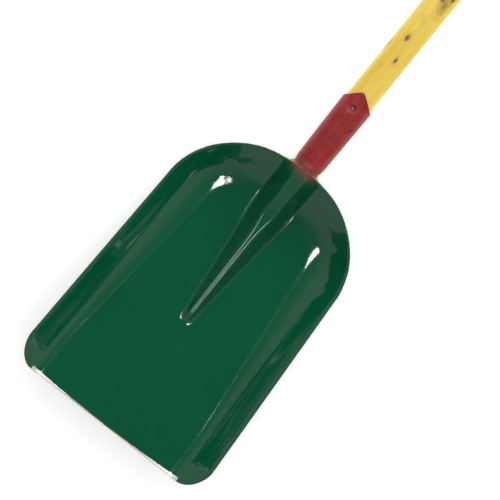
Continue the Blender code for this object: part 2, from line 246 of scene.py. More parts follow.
def axial_at(y, turn):
    """Where the line along the socket's face at this turn passes a given y."""
    slant = math.cos(turn) * math.sin(LIFT)
    run = y - SOCKET_START + SOCKET_START_RADIUS * slant
    return run / (math.cos(LIFT) - SOCKET_WIDENING * slant)


def mouth_axial(turn):
    """The mouth's edge: square behind, with a blunt tongue in front whose tip lies a little to one side."""
    if abs(turn) >= math.pi / 2:
        return SOCKET_LENGTH
    across = math.sin(turn)
    side = math.copysign(1, across - TONGUE_SKEW)
    off_tip = (across - TONGUE_SKEW) / (side - TONGUE_SKEW)
    slope = (math.hypot(off_tip, TONGUE_BLUNT) - TONGUE_BLUNT) / (math.hypot(1, TONGUE_BLUNT) - TONGUE_BLUNT)
    bulge = math.sqrt(max(1 - off_tip * off_tip, 0.0))
    return SOCKET_LENGTH + (TONGUE_LENGTH - TONGUE_ROUND) * (1 - slope) + TONGUE_ROUND * bulge


# ---- The scoop's plan outline ----

def straight_half(y):
    """Half width of the straight tapered sides, extended to the cutting edge."""
    taper = (FRONT_HALF - ARCH_HALF) / (ARCH_START - CORNER_LENGTH)
    return FRONT_HALF - taper * (y - CORNER_LENGTH)


def fillet_centre():
    """Centre of the round between the arch and the socket's side."""
    x = SOCKET_START_RADIUS + SHOULDER_FILLET
    arch_y = ARCH_START + ARCH_DEPTH * math.sqrt(1 - (x / ARCH_HALF) ** 2)
    return x, arch_y + SHOULDER_FILLET


def outline_half(y):
    """Half width of the rim at y, from the cutting edge to the socket's side."""
    if y < CORNER_LENGTH:
        back = (CORNER_LENGTH - y) / CORNER_LENGTH
        return EDGE_HALF + (FRONT_HALF - EDGE_HALF) * math.sqrt(1 - back * back)
    if y <= ARCH_START:
        return straight_half(y)
    centre_x, centre_y = fillet_centre()
    if y < centre_y - SHOULDER_FILLET:
        return ARCH_HALF * math.sqrt(1 - ((y - ARCH_START) / ARCH_DEPTH) ** 2)
    if y < centre_y:
        return centre_x - math.sqrt(max(SHOULDER_FILLET ** 2 - (centre_y - y) ** 2, 0.0))
    return SOCKET_START_RADIUS


# ---- Heights of the pressed sheet, upper face ----

def flare_height(out, radius, angle):
    """Height of the flared wall, at a distance out from the floor's flat part."""
    bend_end = radius * math.sin(angle)
    if out <= 0:
        return 0.0
    if out < bend_end:
        return radius - math.sqrt(radius * radius - out * out)
    return radius * (1 - math.cos(angle)) + (out - bend_end) * math.tan(angle)


def floor_half(y):
    """Half width of the flat floor."""
    return FLOOR_FRONT_HALF - FLOOR_TAPER * soft_ramp(y - FLOOR_TAPER_START, TAPER_ROUND)


def bend_radius(y):
    """Radius of the bend between floor and side wall, opening out towards the heel."""
    return BEND_RADIUS_FRONT + BEND_GROWTH * soft_ramp(y - BEND_GROWTH_START, TAPER_ROUND)


def heel_ease(y):
    """The floor's faint rise towards the heel, before the back wall."""
    span = HEEL_EASE_END - HEEL_EASE_START
    run = min(max(y - HEEL_EASE_START, 0.0), span)
    return HEEL_EASE_SLOPE * run * run / (2 * span)


def pan_height(x, y):
    """Floor, side walls and back wall, without the frog."""
    x = abs(x)
    if y <= ARCH_START:
        rise = math.sin(math.pi / 2 * min(y / WALL_RISE_LENGTH, 1.0))
        angle = mix(WALL_ANGLE_FRONT, WALL_ANGLE_SIDE, rise)
        return heel_ease(y) + flare_height(x - floor_half(y), bend_radius(y), angle)
    across = x / ARCH_HALF
    along = (y - ARCH_START) / ARCH_DEPTH
    reach = math.hypot(across, along)
    back_share = (along / reach) ** 2
    flare = mix(ARCH_HALF - floor_half(ARCH_START), BACK_FLARE, back_share)
    radius = mix(bend_radius(ARCH_START), BEND_RADIUS_BACK, back_share)
    angle = mix(WALL_ANGLE_SIDE, WALL_ANGLE_BACK, back_share)
    flare -= CORNER_CUT * 4 * back_share * (1 - back_share)
    ray = math.hypot(x, y - ARCH_START) / reach
    return heel_ease(y) + flare_height(flare - (1 - reach) * ray, radius, angle)


def frog_half(y):
    """Half width of the frog where its sides meet the floor."""
    half = FROG_TIP_HALF + FROG_SPREAD * soft_ramp(y - FROG_TIP, PLAN_ROUND)
    half += (FROG_SPREAD_HIGH - FROG_SPREAD) * soft_ramp(y - FROG_BEND, PLAN_ROUND)
    return half


def crest_half(y):
    """Half width of the frog's flat crest, which widens quickly below the socket."""
    narrow = CREST_TIP_HALF + CREST_SPREAD * soft_ramp(y - FROG_TIP, PLAN_ROUND)
    widened = smooth_step(y, CREST_WIDENS_FROM, FROG_BEND + CREST_WIDE_BEYOND) ** CREST_WIDEN_POWER
    return mix(narrow, CREST_WIDE_HALF, widened)


def crest_shoulder(y):
    """Half width of the rounding between the crest and the frog's side."""
    return min(CREST_SHOULDER, 0.7 * crest_half(y))


def frog_drop(share, y):
    """How far the frog's side has dropped from crest (0) to foot (1), at a share of its half width."""
    flat = crest_half(y) / frog_half(y)
    ridge = soft_ramp(share - flat, crest_shoulder(y) / frog_half(y)) / (1 - flat)
    tube = 1 - math.sqrt(max(1 - share * share, 0.0))
    rounded = smooth_step(y, SOCKET_START - CREST_ROUNDS_BEFORE, SOCKET_START + CREST_ROUNDS_AFTER)
    return mix(ridge, tube, rounded)


# ---- Cross-sections of the sheet, from the crest out to the edge ----

def crest_places(y, inner):
    """Where the frog's half section has its points: its flat crest, rounded shoulder and side."""
    shoulder_in = crest_half(y) - crest_shoulder(y)
    shoulder_out = crest_half(y) + crest_shoulder(y)
    knots = (0.0, shoulder_in, shoulder_out, inner)
    steps = CREST_STEPS // 3
    ridge = [0.0]
    for near, far in zip(knots, knots[1:]):
        ridge += [mix(near, far, i / steps) for i in range(1, steps + 1)]
    turns = [SIDE_TURN * i / CREST_STEPS for i in range(CREST_STEPS + 1)]
    tube = [inner * math.sin(turn) / math.sin(SIDE_TURN) for turn in turns]
    into_tube = smooth_step(y, SOCKET_START - CREST_SPACES_BEFORE, SOCKET_START)
    return [mix(a, b, into_tube) for a, b in zip(ridge, tube)]


def pressed_section(y):
    """Half section of the pressed scoop at y: crest, frog side, foot fillet, floor and wall."""
    rim = outline_half(y)
    foot = min(frog_half(y), rim - FOOT_MIN_WALL)
    crest = max(crest_height(y), pan_height(0, y))

    def face(x):
        pan = pan_height(x, y)
        if x >= foot:
            return Vector((x, y, pan))
        foot_height = pan_height(foot, y)
        return Vector((x, y, max(crest - (crest - foot_height) * frog_drop(x / foot, y), pan)))

    inner = foot - min(FROG_FOOT_FILLET * FILLET_INWARD, foot * FILLET_MOST_INWARD)
    outer = foot + min(FROG_FOOT_FILLET * FILLET_OUTWARD, (rim - foot) * FILLET_MOST_OUTWARD)
    points = [face(x) for x in crest_places(y, inner)]
    start, corner, end = points[-1], face(foot), face(outer)
    for i in range(1, FOOT_STEPS + 1):
        t = i / FOOT_STEPS
        points.append(start * (1 - t) ** 2 + corner * 2 * t * (1 - t) + end * t * t)
    for i in range(1, WALL_STEPS + 1):
        points.append(face(mix(outer, rim, i / WALL_STEPS)))
    return points


def tube_turns(axial):
    """Turns of the half section's points about the axis; the seam closes along the socket."""
    closed = smooth_step(axial, -SEAM_OPENS_BEFORE, SEAM_CLOSES_OVER)
    edge_turn = mix(SEAM_OPEN_TURN, math.pi - SEAM_HALF_ANGLE, closed)
    turns = [SIDE_TURN * i / CREST_STEPS for i in range(CREST_STEPS + 1)]
    turns += [mix(SIDE_TURN, FOOT_TURN, i / FOOT_STEPS) for i in range(1, FOOT_STEPS + 1)]
    turns += [mix(FOOT_TURN, edge_turn, i / WALL_STEPS) for i in range(1, WALL_STEPS + 1)]
    return turns


PRESSED_END = SOCKET_START - ROLL_STARTS_BEFORE
TUBE_BEGIN = SOCKET_START + ROLL_ENDS_AFTER


def section_at(y):
    """Half section at constant y, turning from pressed sheet into rolled tube at the shoulder."""
    pressed = pressed_section(min(y, SOCKET_START + PRESSED_BEYOND))
    if y <= PRESSED_END:
        return pressed
    rolled = smooth_step(y, PRESSED_END, TUBE_BEGIN)
    turns = tube_turns((y - SOCKET_START) / math.cos(LIFT))
    tube = [socket_point(axial_at(y, turn), turn) for turn in turns]
    points = [a.lerp(b, rolled) for a, b in zip(pressed, tube)]
    for point in points:
        point.y = y
    return points


def socket_section(share, side):
    """One side's half section of the tube, at a share of the way from the shoulder to the mouth's edge."""
    points = []
    first_axial = (TUBE_BEGIN - SOCKET_START) / math.cos(LIFT)
    turns = tube_turns(mix(first_axial, SOCKET_LENGTH, share))
    for first, turn in zip(tube_turns(first_axial), turns):
        start = axial_at(TUBE_BEGIN, first)
        point = socket_point(mix(start, mouth_axial(side * turn), share), turn)
        points.append(Vector((side * point.x, point.y, point.z)))
    return points


def whole_line(left, right):
    """Points across the sheet from two half sections that both start at the crest."""
    return list(reversed(left[1:])) + right


def mirrored(half):
    return [Vector((-point.x, point.y, point.z)) for point in half]


# ---- Detail that only the looks have ----

MOUNT_Y = 0.090
SHEET_WAVE = 0.00012
SHEET_WAVE_PITCH = 18.0
SOCKET_WAVE = 0.00018
SOCKET_WAVE_PITCH = 70.0
DENT_PITCH = 66.0
DENT_CORE = 0.3
# Places where the press wrinkled the heel corners: x, y, reach and depth
CORNER_DENTS = (
    (-0.090, 0.338, 0.036, 0.0016),
    (-0.060, 0.352, 0.026, 0.0005),
    (0.106, 0.306, 0.030, 0.0016),
    (0.094, 0.334, 0.026, 0.0009),
)
DIMPLE_DEPTH = 0.0009
DIMPLE_IN = 0.0022
DIMPLE_OUT = 0.0066
RIM_ROUND = 0.00035
RIM_ROUND_STEPS = 2
RIM_EDGE_ANGLE = math.radians(50)
RIM_FAR = 0.02
GRIND_MIDDLE = 0.0010
GRIND_CORNER = 0.0040
GRIND_HALF = 0.1128
GRIND_DROP = 0.0007

POLE_SIDES = 96
POLE_NECK_RINGS = 16
POLE_RINGS = 170
POLE_END_RINGS = 8
POLE_SHARP_ANGLE = math.radians(45)
POLE_WAVE = 0.00022
POLE_WAVE_PITCH = 9
POLE_WAVE_SCALE = 1.1
POLE_FLAT_SHARE = 0.35
POLE_FLATS = 6
POLE_FLAT_PITCH = 14
KNOT_DENT = 0.00035
KNOT_CORE = 0.3
KNOT_REACH = 1.6
# Knots of the pole: turn from the front in degrees, distance along the axis, half width and half length
KNOTS = (
    (-14, 0.2185, 0.0033, 0.0066),
    (6, 0.1860, 0.0022, 0.0050),
    (4, 0.2830, 0.0036, 0.0060),
    (22, 0.2770, 0.0062, 0.0130),
    (36, 0.2900, 0.0028, 0.0050),
    (-70, 0.1960, 0.0020, 0.0060),
    (150, 0.4200, 0.0040, 0.0080),
    (-120, 0.6500, 0.0030, 0.0060),
    (60, 0.7800, 0.0045, 0.0080),
    (-35, 0.9100, 0.0020, 0.0040),
)

NAIL_DOME_RINGS = 9
NAIL_DOME_BASE = 0.35
NAIL_DOME_RISE = 0.60
NAIL_DOME_POWER = 1.3
NAIL_TOP = 0.93
NAIL_DENTED_ABOVE = 0.2
# Rings below the dome, as shares of the head's height and radius, then the shank's heights and radius shares
NAIL_HEAD_EDGE = ((0.12, 0.995), (0.0, 0.96))
NAIL_SHANK = (
    (0.0, 1.02),
    (-0.001, 1.0),
    (-NAIL_LENGTH + NAIL_POINT_LENGTH, 1.0),
    (-NAIL_LENGTH + NAIL_TIP_LENGTH, 0.12),
)
NAIL_SIDES = 40
NAIL_UNEVEN = 0.035
NAIL_UNEVEN_PITCH = 1.3
NAIL_DENT = 0.00012
NAIL_DENT_PITCH = 700
NAIL_SHARP_ANGLE = math.radians(50)
NAIL_SEED_STEP = 7.3
HOLE_REACH = 0.004
HOLE_SIDES = 24


def station_list():
    """The y of each cross-section, closest where the sheet bends and along the ground edge."""
    turns = [math.pi / 2 * i / CORNER_ROWS for i in range(CORNER_ROWS + 1)]
    corner = [CORNER_LENGTH * (1 - math.cos(turn)) for turn in turns]
    front = spread(CORNER_LENGTH, FROG_TIP - NOSE_LEAD, FRONT_ROWS)
    nose = [FROG_TIP - NOSE_LEAD + i * NOSE_SPACING for i in range(1, NOSE_ROWS + 1)]
    ridge = spread(nose[-1], ARCH_START, RIDGE_ROWS)
    last_arch = math.asin((fillet_centre()[1] - SHOULDER_FILLET - ARCH_START) / ARCH_DEPTH)
    arch = [ARCH_START + ARCH_DEPTH * math.sin(turn) for turn in spread(0.0, last_arch, ARCH_ROWS)]
    shoulder = spread(arch[-1], TUBE_BEGIN, SHOULDER_ROWS)
    return corner + front + nose + ridge + arch + shoulder


def place_scoop(record):
    """Matrix from the scoop's frame to the row frame."""
    seat = next(mount for mount in record["mounts"] if mount["name"] == "floor_underside")
    up = -Vector(seat["axis"]).normalized()
    across = Vector((1, 0, 0))
    along = up.cross(across)
    return pose_matrix(across, along, up, Vector(seat["pos_m"]) + up * SHEET - along * MOUNT_Y)


SCOOP_FRAME = place_scoop(frame["record"])
POLE_FRAME = pose_matrix(Vector((1, 0, 0)), -AXIS_FRONT, AXIS_DIRECTION, AXIS_ORIGIN)


def outward_at(turn):
    return Vector((math.sin(turn), 0, 0)) + AXIS_FRONT * math.cos(turn)


NAILS = (
    ("nail_front", FRONT_NAIL_AXIAL, FRONT_NAIL_TURN),
    ("nail_side", SIDE_NAIL_AXIAL, SIDE_NAIL_TURN),
)


def scoop_direction(x, y, z):
    return (SCOOP_FRAME.to_3x3() @ Vector((x, y, z))).normalized()


# ---- Mesh work ----

def to_mesh(name, build):
    mesh = bpy.data.meshes.new(name)
    build.to_mesh(mesh)
    build.free()
    return mesh


def to_piece(name, mesh, matrix):
    item = bpy.data.objects.new(name, mesh)
    bpy.context.scene.collection.objects.link(item)
    item.matrix_world = matrix
    return item


def baked(item):
    """The object's mesh with its modifiers applied; the object keeps no modifiers."""
    bpy.context.view_layer.update()
    graph = bpy.context.evaluated_depsgraph_get()
    mesh = bpy.data.meshes.new_from_object(item.evaluated_get(graph), depsgraph=graph)
    item.modifiers.clear()
    old = item.data
    item.data = mesh
    bpy.data.meshes.remove(old)
    mesh.name = item.name
    return mesh


def settle(item):
    """Move the object's place into its mesh, rubbed flat where it touches the CAD's box."""
    item.data.transform(item.matrix_world)
    item.matrix_world = Matrix.Identity(4)
    for vert in item.data.vertices:
        vert.co = [min(max(value, low), high) for value, low, high in zip(vert.co, cad_low, cad_high)]


def off_axis(point, origin, direction):
    away = point - origin
    return (away - direction * away.dot(direction)).length


def sheet_push(point, from_rim):
    """How far a point of the sheet moves along its normal: waves, wrinkled heel corners, nail dimples."""
    push = SHEET_WAVE * unit_noise(point * SHEET_WAVE_PITCH) * smooth_step(from_rim, 0.0, RIM_FAR)
    for x, y, reach, depth in CORNER_DENTS:
        near = 1 - smooth_step(math.hypot(point.x - x, point.y - y), DENT_CORE * reach, reach)
        if near > 0:
            push += depth * near * noise.noise(point * DENT_PITCH)
    if point.y > PRESSED_END:
        in_tube = smooth_step(point.y, PRESSED_END, TUBE_BEGIN)
        push = mix(push, -SOCKET_WAVE * unit_noise(point * SOCKET_WAVE_PITCH), in_tube)
    for _, axial, turn in NAILS:
        outward = outward_at(turn)
        seat = socket_point(axial, turn)
        if (point - seat).length < 2 * DIMPLE_OUT:
            distance = off_axis(point, seat, outward)
            push -= DIMPLE_DEPTH * (1 - smooth_step(distance, DIMPLE_IN, DIMPLE_OUT))
    return push


def open_sheet():
    """The sheet's front face, lofted through its cross-sections, with each point's distance from the rim."""
    halves = [section_at(y) for y in station_list()]
    rows = [(whole_line(mirrored(half), half), RIM_FAR) for half in halves]
    for i in range(1, TUBE_ROWS + 1):
        share = i / TUBE_ROWS
        line = whole_line(socket_section(share, -1), socket_section(share, 1))
        rows.append((line, (1 - share) * SOCKET_LENGTH))
    build = bmesh.new()
    rim = build.verts.layers.float.new("rim")
    grid = []
    for line, to_mouth in rows:
        verts = []
        for point in line:
            vert = build.verts.new(point)
            to_side = min((point - line[0]).length, (point - line[-1]).length)
            vert[rim] = min(to_side, to_mouth, RIM_FAR)
            verts.append(vert)
        grid.append(verts)
    for near, far in zip(grid, grid[1:]):
        for i in range(len(near) - 1):
            build.faces.new((near[i], near[i + 1], far[i + 1], far[i]))
    build.normal_update()
    moves = [(vert, vert.normal * sheet_push(vert.co, vert[rim])) for vert in build.verts]
    for vert, move in moves:
        vert.co += move
    return to_mesh("scoop_sheet", build)


def grind_edge(mesh, top_count):
    """Lower the upper face along the cutting edge to a ground bevel."""
    for vert in mesh.vertices[:top_count]:
        point = vert.co
        depth = GRIND_MIDDLE + GRIND_CORNER * (point.x / EDGE_HALF) ** 2
        if point.y < depth and abs(point.x) < GRIND_HALF:
            vert.co.z -= GRIND_DROP * (1 - point.y / depth)


def make_scoop():
    item = to_piece("scoop_sheet", open_sheet(), SCOOP_FRAME)
    top_count = len(item.data.vertices)
    sheet = item.modifiers.new("sheet", "SOLIDIFY")
    sheet.thickness = SHEET
    sheet.offset = -1
    sheet.use_even_offset = True
    grind_edge(baked(item), top_count)
    edge = item.modifiers.new("rim_round", "BEVEL")
    edge.width = RIM_ROUND
    edge.segments = RIM_ROUND_STEPS
    edge.limit_method = "ANGLE"
    edge.angle_limit = RIM_EDGE_ANGLE
    baked(item)
    drill_holes(item)
    item.data.shade_smooth()
    return item


def lathe(rings, sides, close_start, close_end):
    """A closed surface through rings of points; each ring is (height, function of turn giving a radius)."""
    build = bmesh.new()
    loops = []
    for height, radius_at in rings:
        loop = []
        for i in range(sides):
            turn = math.tau * i / sides
            radius = radius_at(turn)
            loop.append(build.verts.new((radius * math.sin(turn), -radius * math.cos(turn), height)))
        loops.append(loop)
    for near, far in zip(loops, loops[1:]):
        for i in range(sides):
            j = (i + 1) % sides
            build.faces.new((near[i], near[j], far[j], far[i]))
    for loop, height in ((loops[0], close_start), (loops[-1], close_end)):
        middle = build.verts.new((0, 0, height))
        for i in range(sides):
            build.faces.new((loop[i], loop[(i + 1) % sides], middle))
    bmesh.ops.recalc_face_normals(build, faces=build.faces[:])
    return build


def pole_radius(axial):
    """Turned radius of the pole: a short cone in the frog, a tapered neck in the socket, then straight."""
    if axial < NECK_START:
        share = (axial - HANDLE_TIP_AXIAL) / (NECK_START - HANDLE_TIP_AXIAL)
        return mix(HANDLE_TIP_RADIUS, HANDLE_NECK_RADIUS, share)
    if axial < SOCKET_LENGTH:
        return mix(HANDLE_NECK_RADIUS, HANDLE_RADIUS, (axial - NECK_START) / (SOCKET_LENGTH - NECK_START))
    into_round = HANDLE_END_ROUND - (HANDLE_END_AXIAL - axial)
    if into_round > 0:
        arc = math.sqrt(max(HANDLE_END_ROUND ** 2 - into_round ** 2, 0.0))
        return HANDLE_RADIUS - HANDLE_END_ROUND + arc
    return HANDLE_RADIUS


def pole_skin(axial, turn):
    """How far the pole's surface lies inside its turned radius: planing flats, slow waves and sunk knots."""
    across, ahead = math.sin(turn), math.cos(turn)
    wave = Vector((across, ahead, axial * POLE_WAVE_PITCH)) * POLE_WAVE_SCALE
    flats = Vector((across * POLE_FLATS, ahead * POLE_FLATS, axial * POLE_FLAT_PITCH))
    inside = POLE_WAVE * (unit_noise(wave) + POLE_FLAT_SHARE * unit_noise(flats))
    for degrees, centre, half_width, half_length in KNOTS:
        off_turn = (turn - math.radians(degrees) + math.pi) % math.tau - math.pi
        reach = math.hypot(off_turn * HANDLE_RADIUS / half_width, (axial - centre) / half_length)
        inside += KNOT_DENT * (1 - smooth_step(reach, KNOT_CORE, KNOT_REACH))
    return inside


def make_pole():
    round_start = HANDLE_END_AXIAL - HANDLE_END_ROUND
    places = [HANDLE_TIP_AXIAL] + spread(HANDLE_TIP_AXIAL, SOCKET_LENGTH, POLE_NECK_RINGS)
    places += spread(SOCKET_LENGTH, round_start, POLE_RINGS)
    places += [round_start + HANDLE_END_ROUND * math.sin(turn)
               for turn in spread(0.0, math.pi / 2, POLE_END_RINGS)]
    rings = [(place, lambda turn, axial=place: pole_radius(axial) - pole_skin(axial, turn))
             for place in places]
    build = lathe(rings, POLE_SIDES, HANDLE_TIP_AXIAL, HANDLE_END_AXIAL)
    item = to_piece("pole", to_mesh("pole", build), SCOOP_FRAME @ POLE_FRAME)
    drill_holes(item)
    item.data.shade_smooth()
    item.data.set_sharp_from_angle(angle=POLE_SHARP_ANGLE)
    return item


def nail_frame(axial, turn, depth):
    """Matrix from a nail's own frame, with its head along +Z, to the scoop's frame."""
    outward = outward_at(turn)
    across = AXIS_DIRECTION.cross(outward)
    seat = socket_point(axial, turn) + outward * (FIT_GAP - depth)
    return pose_matrix(across, AXIS_DIRECTION, outward, seat)


def make_nail(name, axial, turn, seed):
    """A hammered nail: a slightly dented, uneven domed head, a shank and a short point."""
    def head_radius(share):
        def radius_at(t):
            around = Vector((math.sin(t) * NAIL_UNEVEN_PITCH, math.cos(t) * NAIL_UNEVEN_PITCH, seed))
            return NAIL_HEAD_RADIUS * share * (1 - NAIL_UNEVEN + NAIL_UNEVEN * noise.noise(around))
        return radius_at

    rings = []
    for bend in spread(0.0, math.pi / 2, NAIL_DOME_RINGS):
        dome = NAIL_DOME_BASE + NAIL_DOME_RISE * math.cos(bend) ** NAIL_DOME_POWER
        rings.append((NAIL_HEAD_HEIGHT * dome, head_radius(math.sin(bend))))
    for height, share in NAIL_HEAD_EDGE:
        rings.append((NAIL_HEAD_HEIGHT * height, head_radius(share)))
    for height, share in NAIL_SHANK:
        rings.append((height, lambda t, radius=NAIL_SHANK_RADIUS * share: radius))
    build = lathe(rings, NAIL_SIDES, NAIL_HEAD_HEIGHT * NAIL_TOP, -NAIL_LENGTH)
    for vert in build.verts:
        if vert.co.z > NAIL_HEAD_HEIGHT * NAIL_DENTED_ABOVE:
            vert.co.z -= NAIL_DENT * unit_noise(vert.co * NAIL_DENT_PITCH + Vector((0, 0, seed)))
    pose = SCOOP_FRAME @ nail_frame(axial, turn, DIMPLE_DEPTH)
    item = to_piece(name + "_head", to_mesh(name, build), pose)
    item.data.shade_smooth()
    item.data.set_sharp_from_angle(angle=NAIL_SHARP_ANGLE)
    return item


def drill_holes(item):
    """Cut the nails' holes through a piece."""
    radius = NAIL_SHANK_RADIUS + FIT_GAP
    bottom = -NAIL_LENGTH - FIT_GAP
    cutters = []
    for name, axial, turn in NAILS:
        build = lathe([(z, lambda t: radius) for z in (HOLE_REACH, bottom)], HOLE_SIDES, HOLE_REACH, bottom)
        cutter = to_piece(name + "_hole", to_mesh(name + "_hole", build),
                          SCOOP_FRAME @ nail_frame(axial, turn, 0.0))
        cut = item.modifiers.new(name, "BOOLEAN")
        cut.operation = "DIFFERENCE"
        cut.solver = "EXACT"
        cut.object = cutter
        cutters.append(cutter)
    baked(item)
    for cutter in cutters:
        bpy.data.objects.remove(cutter, do_unlink=True)


# ---- Materials ----

class Nodes:
    """Short ways to add and wire shader nodes."""

    def __init__(self, tree):
        self.tree = tree

    def node(self, kind, operation=None):
        node = self.tree.nodes.new("ShaderNode" + kind)
        if operation:
            node.operation = operation
        return node

    def wire(self, value, socket):
        if isinstance(value, bpy.types.NodeSocket):
            self.tree.links.new(value, socket)
        elif isinstance(value, tuple) and len(value) == 3 and socket.type == "RGBA":
            socket.default_value = (*value, 1.0)
        else:
            socket.default_value = value

    def math(self, operation, a, b=0.0, clamp=False):
        node = self.node("Math", operation)
        node.use_clamp = clamp
        self.wire(a, node.inputs[0])
        self.wire(b, node.inputs[1])
        return node.outputs[0]

    def add(self, a, b):
        return self.math("ADD", a, b)

    def times(self, a, b):
        return self.math("MULTIPLY", a, b)

    def dot(self, vector, direction):
        node = self.node("VectorMath", "DOT_PRODUCT")
        self.wire(vector, node.inputs[0])
        node.inputs[1].default_value = direction
        return node.outputs["Value"]

    def ease(self, value, start, end, low=0.0, high=1.0):
        node = self.node("MapRange")
        node.interpolation_type = "SMOOTHSTEP"
        inputs = {"Value": value, "From Min": start, "From Max": end, "To Min": low, "To Max": high}
        for name, given in inputs.items():
            self.wire(given, node.inputs[name])
        return node.outputs[0]

    def ramp(self, value, *stops):
        node = self.node("ValToRGB")
        band = node.color_ramp
        while len(band.elements) < len(stops):
            band.elements.new(0.5)
        for element, (position, colour) in zip(band.elements, stops):
            element.position = position
            element.color = (*colour, 1.0)
        self.wire(value, node.inputs[0])
        return node.outputs[0]


class Paint(Nodes):
    """A Principled material measured in a piece's own frame."""

    def __init__(self, name, own_frame=Matrix.Identity(4)):
        self.material = bpy.data.materials.new(name)
        self.material.use_nodes = True
        super().__init__(self.material.node_tree)
        self.shader = self.tree.nodes["Principled BSDF"]
        self.coords = self.node("TexCoord")
        back = own_frame.inverted()
        into = self.node("Mapping")
        into.inputs["Location"].default_value = back.to_translation()
        into.inputs["Rotation"].default_value = back.to_euler()
        self.wire(self.coords.outputs["Object"], into.inputs["Vector"])
        self.place = into.outputs[0]
        parts = self.node("SeparateXYZ")
        self.wire(self.place, parts.inputs[0])
        self.x, self.y, self.z = parts.outputs

    def set(self, **inputs):
        for name, value in inputs.items():
            self.wire(value, self.shader.inputs[name.replace("_", " ")])

    def stretch(self, scale, shift=(0.0, 0.0, 0.0)):
        node = self.node("Mapping")
        self.wire(self.place, node.inputs["Vector"])
        node.inputs["Location"].default_value = shift
        node.inputs["Scale"].default_value = scale
        return node.outputs[0]

    def noise(self, scale, detail=3.0, rough=0.5, vector=None, distortion=0.0):
        node = self.node("TexNoise")
        self.wire(vector or self.place, node.inputs["Vector"])
        node.inputs["Scale"].default_value = scale
        node.inputs["Detail"].default_value = detail
        node.inputs["Roughness"].default_value = rough
        node.inputs["Distortion"].default_value = distortion
        return node.outputs[0]

    def blend(self, share, a, b):
        node = self.node("Mix")
        node.data_type = "RGBA"
        self.wire(share, node.inputs[0])
        self.wire(a, node.inputs[6])
        self.wire(b, node.inputs[7])
        return node.outputs[2]

    def away(self, centre, stretch=(1.0, 1.0, 1.0)):
        """Distance from a point, measured with the axes stretched."""
        node = self.node("VectorMath", "LENGTH")
        self.wire(self.stretch(stretch, tuple(-c * s for c, s in zip(centre, stretch))), node.inputs[0])
        return node.outputs["Value"]

    def bump(self, height, distance, under=None):
        node = self.node("Bump")
        node.inputs["Strength"].default_value = 1.0
        node.inputs["Distance"].default_value = distance
        self.wire(height, node.inputs["Height"])
        if under:
            self.wire(under, node.inputs["Normal"])
        return node.outputs[0]

    def facing(self, direction):
        """Cosine between the surface's normal and a direction of the row frame."""
        return self.dot(self.coords.outputs["Normal"], direction)

    def attribute(self, name):
        node = self.node("Attribute")
        node.attribute_name = name
        return node.outputs["Fac"]


# Paint colours, from dark to pale where there are several
GREENS = ((0.30, (0.0006, 0.070, 0.0270)), (0.70, (0.0012, 0.086, 0.0350)))
REDS = ((0.28, (0.215, 0.011, 0.013)), (0.50, (0.298, 0.018, 0.019)), (0.72, (0.372, 0.030, 0.028)))
GREEN_DIRT = (0.012, 0.045, 0.026)
GREEN_SCRATCH = (0.10, 0.16, 0.13)
# Painted shade ring round the nails, then the painted highlight colour for the socket's front
NAIL_SHADE_RING = (0.075, 0.010, 0.010)
RED_PAINTED_HIGHLIGHT = (0.60, 0.26, 0.22)
# Painted shade along the rim, then the colour of real chips
RIM_SHADOW = (0.004, 0.016, 0.010)
RIM_CHIP = (0.035, 0.028, 0.022)
STEELS = ((0.3, (0.50, 0.53, 0.47)), (0.55, (0.68, 0.72, 0.63)), (0.8, (0.80, 0.83, 0.76)))
RUST = (0.16, 0.075, 0.035)

# Where the red spray fades into the green: along the scoop, and earlier beside the frog's crest
FADE_START = 0.381
FADE_END = 0.409
FADE_WANDER = 0.014
FADE_CREST_HALF = 0.0165
FADE_BESIDE = -1.3
# Inner and outer radius of the painted shade ring round each nail, then where the painted highlight sits
NAIL_RING_IN = 0.0038
NAIL_RING_OUT = 0.0050
PAINTED_HIGHLIGHT_PLACE = (-0.0023, 0.4290, 0.0410)
GRIND_RAGGED = 0.0022
PEEL_HEIGHT = 0.000028
COAT_PITS = 0.000045
STEEL_SCORES = 0.00008


def spray_fade(paint):
    """How far the red covers the green, and how much of the misty edge band a point lies in."""
    drift = paint.noise(38.0, 3.0)
    line = paint.add(paint.y, paint.times(paint.add(drift, -0.5), FADE_WANDER))
    beside = paint.math("MAXIMUM", paint.add(paint.math("ABSOLUTE", paint.x), -FADE_CREST_HALF), 0.0)
    line = paint.add(line, paint.times(beside, FADE_BESIDE))
    cover = paint.ease(line, FADE_START, FADE_END)
    mist = paint.noise(1400.0, 2.0)
    edge_band = paint.times(paint.times(cover, paint.math("SUBTRACT", 1.0, cover)), 3.2)
    cover = paint.math("ADD", cover, paint.times(paint.add(mist, -0.5), edge_band), clamp=True)
    return cover, edge_band


def scratches(paint):
    """Fine rubbed scratches along the load's path, in patches."""
    along = paint.noise(1.0, 2.0, 0.5, vector=paint.stretch((760.0, 16.0, 760.0)))
    patch = paint.ease(paint.noise(14.0, 2.0), 0.5, 0.68)
    return paint.times(paint.ease(along, 0.735, 0.79), patch)


def socket_painted_light(paint, colour):
    """Painted shade as a dark ring round each nail in its dimple, and a painted highlight as a pale spot on
    the socket's front.
    """
    for _, axial, turn in NAILS:
        seat = socket_point(axial, turn) - outward_at(turn) * DIMPLE_DEPTH
        reach = paint.add(paint.away(tuple(seat)), paint.times(paint.noise(420.0, 2.0), 0.0012))
        ring = paint.ease(reach, NAIL_RING_OUT, NAIL_RING_IN)
        # Painted shade in the dimple round the nail head
        colour = paint.blend(paint.times(ring, 0.60), colour, NAIL_SHADE_RING)
    # Painted highlight: a pale spot on the socket's front
    painted_highlight = paint.away(PAINTED_HIGHLIGHT_PLACE, (1.0, 0.42, 0.25))
    return paint.blend(paint.ease(painted_highlight, 0.0021, 0.0008, 0.0, 0.75), colour, RED_PAINTED_HIGHLIGHT)


